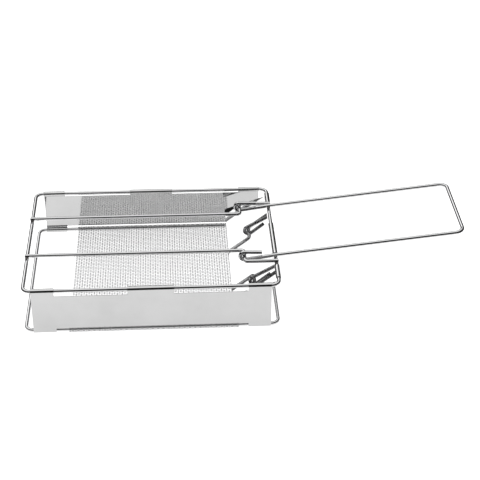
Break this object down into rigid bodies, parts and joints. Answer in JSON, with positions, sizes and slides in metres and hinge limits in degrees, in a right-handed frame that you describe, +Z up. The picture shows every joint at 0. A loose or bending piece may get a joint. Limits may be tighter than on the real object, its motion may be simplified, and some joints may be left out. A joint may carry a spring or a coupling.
{
  "type": "folding grill basket",
  "caption": "Flat-folding camp toasting rack: wire frames hinged to side plates, a woven mesh floor, cross wires, a sloping end plate and a fold-over wire handle.",
  "frame": {"origin": "middle of the basket on the flat underside of its mesh floor, midway between the end wires and the side plates", "axes": "+X towards the handle, +Y to the rear, +Z up"},
  "size_m": [0.3188, 0.1394, 0.0553],
  "materials": {
    "bright_wire": "bright polished stainless steel wire",
    "polished_sheet": "polished stainless steel sheet",
    "woven_mesh": "plain woven stainless steel mesh"
  },
  "bodies": {
    "base": {"bottom_frame": "bright_wire", "mesh_sheet": "woven_mesh"},
    "front_wall": {"front_side_plate": "polished_sheet"},
    "rear_wall": {"rear_side_plate": "polished_sheet"},
    "grill_top": {"top_frame": "bright_wire", "front_cross_wire": "bright_wire", "rear_cross_wire": "bright_wire"},
    "end_shield": {"end_plate": "polished_sheet"},
    "handle": {"handle_wire": "bright_wire"}
  },
  "joints": [
    {"name": "wall_fold", "type": "hinge", "parent": "base", "child": "front_wall", "pos_m": [0, -0.0675, 0.00225], "axis": [-1, 0, 0], "range_deg": [0, 77]},
    {"name": "rear_wall_fold", "type": "hinge", "parent": "base", "child": "rear_wall", "pos_m": [0, 0.0675, 0.00225], "axis": [-1, 0, 0], "range_deg": [0, 77]},
    {"name": "top_level", "type": "hinge", "parent": "front_wall", "child": "grill_top", "pos_m": [0, -0.0675, 0.03525], "axis": [1, 0, 0], "range_deg": [0, 77]},
    {"name": "end_plate_lift", "type": "hinge", "parent": "grill_top", "child": "end_shield", "pos_m": [0.09, 0, 0.03525], "axis": [0, 1, 0], "range_deg": [0, 17.5]},
    {"name": "handle_swing", "type": "hinge", "parent": "grill_top", "child": "handle", "pos_m": [0.0672, 0, 0.03795], "axis": [0, -1, 0], "range_deg": [0, 173.2]}
  ],
  "couplings": [
    {"joint": "rear_wall_fold", "follows": "wall_fold", "ratio": 1},
    {"joint": "top_level", "follows": "wall_fold", "ratio": 1},
    {"joint": "end_plate_lift", "follows": "wall_fold", "ratio": 0.2272}
  ]
}
